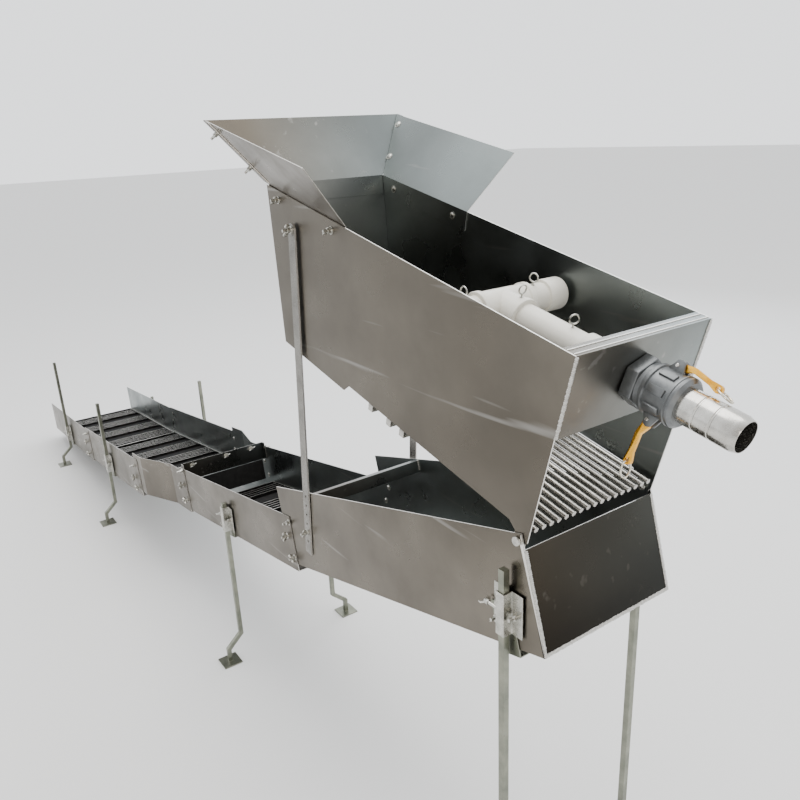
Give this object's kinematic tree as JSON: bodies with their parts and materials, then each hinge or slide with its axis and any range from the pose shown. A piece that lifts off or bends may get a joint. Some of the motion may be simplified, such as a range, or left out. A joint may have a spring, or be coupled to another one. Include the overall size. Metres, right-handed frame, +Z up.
{
  "type": "sluice box",
  "caption": "Highbanker sluice box: tilting hopper with grizzly bars and spray pipe over a stepped chain of riffled trays on adjustable square legs with wing screws.",
  "frame": {"origin": "centre of the box round the whole object, at the height of the ground under the foot plates", "axes": "+X upstream, towards the hopper and its hose coupler, along the trays; +Z up; +Y to the far side, so the water runs towards -X"},
  "size_m": [4.0468, 0.6138, 1.6323],
  "materials": {
    "sheet_aluminium": "folded mill-finish sheet, lightly scratched, with bright cut edges",
    "bright_bar": "drawn round and flat bar, bright",
    "zinc_plate": "zinc plated, satin, slightly green",
    "black_rubber": "black rubber sheet, matte",
    "white_pipe": "off-white pressure pipe, soft gloss",
    "grey_casting": "cast aluminium alloy, satin grey",
    "yellow_zinc": "yellow passivated plating, glossy"
  },
  "bodies": {
    "trays": {"header_box": "sheet_aluminium", "mid_tray": "sheet_aluminium", "flare_tray": "sheet_aluminium", "upper_far_tray": "sheet_aluminium", "lower_far_tray": "sheet_aluminium", "mid_mat": "black_rubber", "upper_mat": "black_rubber", "lower_mat": "black_rubber", "damper_plate": "sheet_aluminium", "pivot_bolt_near": "zinc_plate", "pivot_bolt_far": "zinc_plate", "header_cradle": "zinc_plate", "header_bracket_near": "zinc_plate", "header_bracket_far": "zinc_plate", "mid_cradle": "zinc_plate", "mid_bracket_near": "zinc_plate", "mid_bracket_far": "zinc_plate", "upper_cradle": "zinc_plate", "upper_bracket_near": "zinc_plate", "upper_bracket_far": "zinc_plate", "lower_cradle": "zinc_plate", "lower_bracket_near": "zinc_plate", "lower_bracket_far": "zinc_plate"},
    "hopper": {"hopper_side_near": "sheet_aluminium", "hopper_side_far": "sheet_aluminium", "hopper_back_floor": "sheet_aluminium", "hopper_front": "sheet_aluminium", "wing_near": "sheet_aluminium", "wing_far": "sheet_aluminium", "wing_back": "sheet_aluminium", "grizzly_rack": "bright_bar", "spray_manifold": "white_pipe", "hex_adapter": "grey_casting", "hose_coupler": "grey_casting"},
    "near_strap": {"strap_near": "bright_bar"},
    "far_strap": {"strap_far": "bright_bar"},
    "upper_lever_arm": {"upper_lever": "yellow_zinc"},
    "lower_lever_arm": {"lower_lever": "yellow_zinc"},
    "upper_ring": {"upper_pull_ring": "yellow_zinc"},
    "lower_ring": {"lower_pull_ring": "yellow_zinc"},
    "flap": {"damper_flap": "black_rubber"},
    "header_leg_near_bar": {"header_leg_near": "zinc_plate"},
    "header_screw_near": {"header_wing_screw_near": "zinc_plate"},
    "header_leg_far_bar": {"header_leg_far": "zinc_plate"},
    "header_screw_far": {"header_wing_screw_far": "zinc_plate"},
    "mid_leg_near_bar": {"mid_leg_near": "zinc_plate"},
    "mid_screw_near": {"mid_wing_screw_near": "zinc_plate"},
    "mid_leg_far_bar": {"mid_leg_far": "zinc_plate"},
    "mid_screw_far": {"mid_wing_screw_far": "zinc_plate"},
    "upper_leg_near_bar": {"upper_leg_near": "zinc_plate"},
    "upper_screw_near": {"upper_wing_screw_near": "zinc_plate"},
    "upper_leg_far_bar": {"upper_leg_far": "zinc_plate"},
    "upper_screw_far": {"upper_wing_screw_far": "zinc_plate"},
    "lower_leg_near_bar": {"lower_leg_near": "zinc_plate"},
    "lower_screw_near": {"lower_wing_screw_near": "zinc_plate"},
    "lower_leg_far_bar": {"lower_leg_far": "zinc_plate"},
    "lower_screw_far": {"lower_wing_screw_far": "zinc_plate"},
    "mid_riffles": {"mid_riffle_rack": "sheet_aluminium"},
    "upper_riffles": {"upper_riffle_rack": "sheet_aluminium"},
    "lower_riffles": {"lower_riffle_rack": "sheet_aluminium"}
  },
  "joints": [
    {"name": "hopper_tilt", "type": "hinge", "parent": "trays", "child": "hopper", "pos_m": [1.75559, 0, 0.98347], "axis": [0, 1, 0], "range_deg": [-3, 4]},
    {"name": "near_strap_swing", "type": "hinge", "parent": "hopper", "child": "near_strap", "pos_m": [1.08659, -0.1573, 1.411], "axis": [0, 1, 0], "range_deg": [-2.5, 2]},
    {"name": "far_strap_swing", "type": "hinge", "parent": "hopper", "child": "far_strap", "pos_m": [1.08659, 0.1573, 1.411], "axis": [0, 1, 0], "range_deg": [-2.5, 2]},
    {"name": "upper_lever_swing", "type": "hinge", "parent": "hopper", "child": "upper_lever_arm", "pos_m": [1.89928, 0.01885, 1.26268], "axis": [0.0941, -0.8988, 0.4281], "range_deg": [0, 120]},
    {"name": "upper_ring_swing", "type": "hinge", "parent": "upper_lever_arm", "child": "upper_ring", "pos_m": [1.96297, 0.0171, 1.24499], "axis": [0.0941, -0.8988, 0.4281], "range_deg": [-3, 100]},
    {"name": "lower_lever_swing", "type": "hinge", "parent": "hopper", "child": "lower_lever_arm", "pos_m": [1.88269, -0.01885, 1.18718], "axis": [-0.0941, 0.8988, -0.4281], "range_deg": [-92, 28]},
    {"name": "lower_ring_swing", "type": "hinge", "parent": "lower_lever_arm", "child": "lower_ring", "pos_m": [1.87158, -0.04783, 1.1288], "axis": [-0.0941, 0.8988, -0.4281], "range_deg": [-3, 80]},
    {"name": "header_leg_near_slide", "type": "slide", "parent": "trays", "child": "header_leg_near_bar", "axis": [0, 0, 1], "range_m": [-0.04, 0.35]},
    {"name": "header_screw_near_turn", "type": "hinge", "parent": "trays", "child": "header_screw_near", "pos_m": [1.74019, -0.1687, 0.84966], "axis": [1, 0, 0], "range_deg": [-180, 180]},
    {"name": "header_leg_far_slide", "type": "slide", "parent": "trays", "child": "header_leg_far_bar", "axis": [0, 0, 1], "range_m": [-0.04, 0.35]},
    {"name": "header_screw_far_turn", "type": "hinge", "parent": "trays", "child": "header_screw_far", "pos_m": [1.74019, 0.1687, 0.84966], "axis": [1, 0, 0], "range_deg": [-180, 180]},
    {"name": "mid_leg_near_slide", "type": "slide", "parent": "trays", "child": "mid_leg_near_bar", "axis": [0, 0, 1], "range_m": [-0.01, 0.2]},
    {"name": "mid_screw_near_turn", "type": "hinge", "parent": "trays", "child": "mid_screw_near", "pos_m": [0.49447, -0.1713, 0.50215], "axis": [1, 0, 0], "range_deg": [-180, 180]},
    {"name": "mid_leg_far_slide", "type": "slide", "parent": "trays", "child": "mid_leg_far_bar", "axis": [0, 0, 1], "range_m": [-0.01, 0.2]},
    {"name": "mid_screw_far_turn", "type": "hinge", "parent": "trays", "child": "mid_screw_far", "pos_m": [0.49447, 0.1713, 0.50215], "axis": [1, 0, 0], "range_deg": [-180, 180]},
    {"name": "upper_leg_near_slide", "type": "slide", "parent": "trays", "child": "upper_leg_near_bar", "axis": [0, 0, 1], "range_m": [-0.01, 0.125]},
    {"name": "upper_screw_near_turn", "type": "hinge", "parent": "trays", "child": "upper_screw_near", "pos_m": [-0.74662, -0.2273, 0.27797], "axis": [1, 0, 0], "range_deg": [-180, 180]},
    {"name": "upper_leg_far_slide", "type": "slide", "parent": "trays", "child": "upper_leg_far_bar", "axis": [0, 0, 1], "range_m": [-0.01, 0.125]},
    {"name": "upper_screw_far_turn", "type": "hinge", "parent": "trays", "child": "upper_screw_far", "pos_m": [-0.74662, 0.2273, 0.27797], "axis": [1, 0, 0], "range_deg": [-180, 180]},
    {"name": "lower_leg_near_slide", "type": "slide", "parent": "trays", "child": "lower_leg_near_bar", "axis": [0, 0, 1], "range_m": [-0.01, 0.025]},
    {"name": "lower_screw_near_turn", "type": "hinge", "parent": "trays", "child": "lower_screw_near", "pos_m": [-1.57472, -0.2299, 0.16588], "axis": [1, 0, 0], "range_deg": [-180, 180]},
    {"name": "lower_leg_far_slide", "type": "slide", "parent": "trays", "child": "lower_leg_far_bar", "axis": [0, 0, 1], "range_m": [-0.01, 0.025]},
    {"name": "lower_screw_far_turn", "type": "hinge", "parent": "trays", "child": "lower_screw_far", "pos_m": [-1.57472, 0.2299, 0.16588], "axis": [1, 0, 0], "range_deg": [-180, 180]},
    {"name": "mid_riffles_lift", "type": "slide", "parent": "trays", "child": "mid_riffles", "axis": [-0.1891, 0, 0.982], "range_m": [0, 0.07]},
    {"name": "upper_riffles_lift", "type": "slide", "parent": "trays", "child": "upper_riffles", "axis": [-0.1444, 0, 0.9895], "range_m": [0, 0.1]},
    {"name": "lower_riffles_lift", "type": "slide", "parent": "trays", "child": "lower_riffles", "axis": [-0.108, 0, 0.9942], "range_m": [0, 0.1]},
    {"name": "flap_swing", "type": "hinge", "parent": "trays", "child": "flap", "pos_m": [0.08082, 0, 0.46833], "axis": [0, 1, 0], "range_deg": [-8, 60]}
  ],
  "couplings": [
    {"joint": "near_strap_swing", "follows": "hopper_tilt", "ratio": -0.49},
    {"joint": "far_strap_swing", "follows": "hopper_tilt", "ratio": -0.49}
  ]
}
